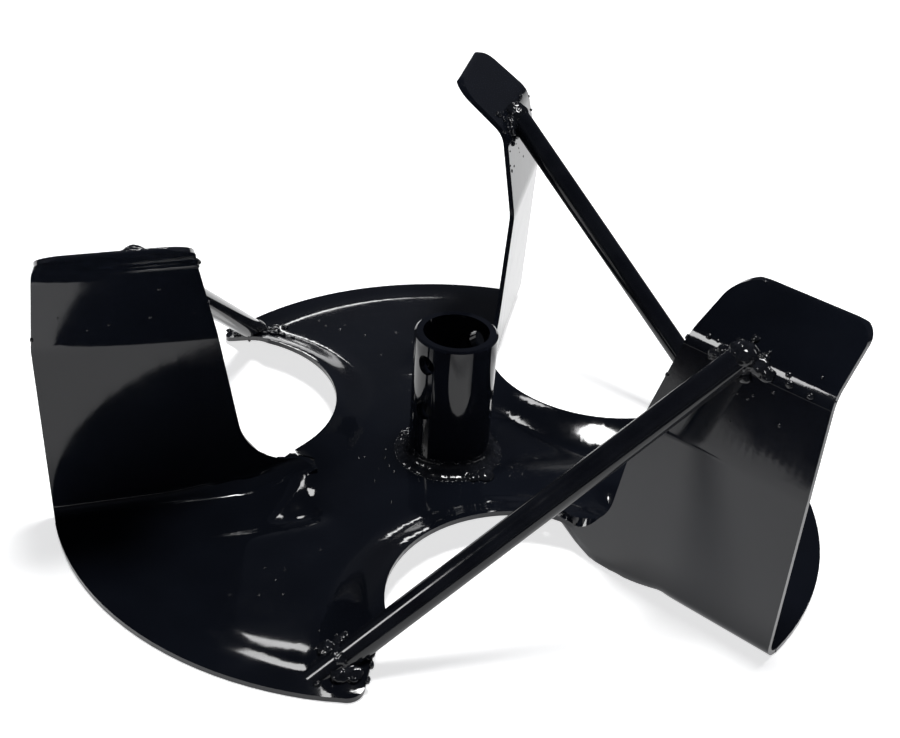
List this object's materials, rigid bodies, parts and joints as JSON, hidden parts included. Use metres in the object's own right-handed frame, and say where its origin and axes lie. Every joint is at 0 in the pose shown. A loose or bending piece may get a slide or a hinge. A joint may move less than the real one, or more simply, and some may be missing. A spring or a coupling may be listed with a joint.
{
  "type": "snow blower impeller",
  "caption": "Welded black impeller: a dished stamped plate with folded, braced throwing blades round a drilled hub tube.",
  "frame": {"origin": "hub axis at the plane that the plate's rim rests on", "axes": "+Z along the hub axis towards the blade tips; the first blade stands at 196.7 degrees from +X"},
  "size_m": [0.2946, 0.2844, 0.1223],
  "materials": {
    "sheet_paint": "glossy black enamel",
    "hub_paint": "glossy black enamel",
    "rod_paint": "glossy black enamel",
    "weld_paint": "black enamel over rough weld beads"
  },
  "bodies": {
    "root": {"bladed_plate": "sheet_paint", "hub_tube": "hub_paint", "hub_weld": "weld_paint", "brace_rod_1": "rod_paint", "brace_rod_2": "rod_paint", "brace_rod_3": "rod_paint", "rod_foot_weld_1": "weld_paint", "rod_foot_weld_2": "weld_paint", "rod_foot_weld_3": "weld_paint", "rod_top_weld_1": "weld_paint", "rod_top_weld_2": "weld_paint", "rod_top_weld_3": "weld_paint"}
  },
  "joints": []
}
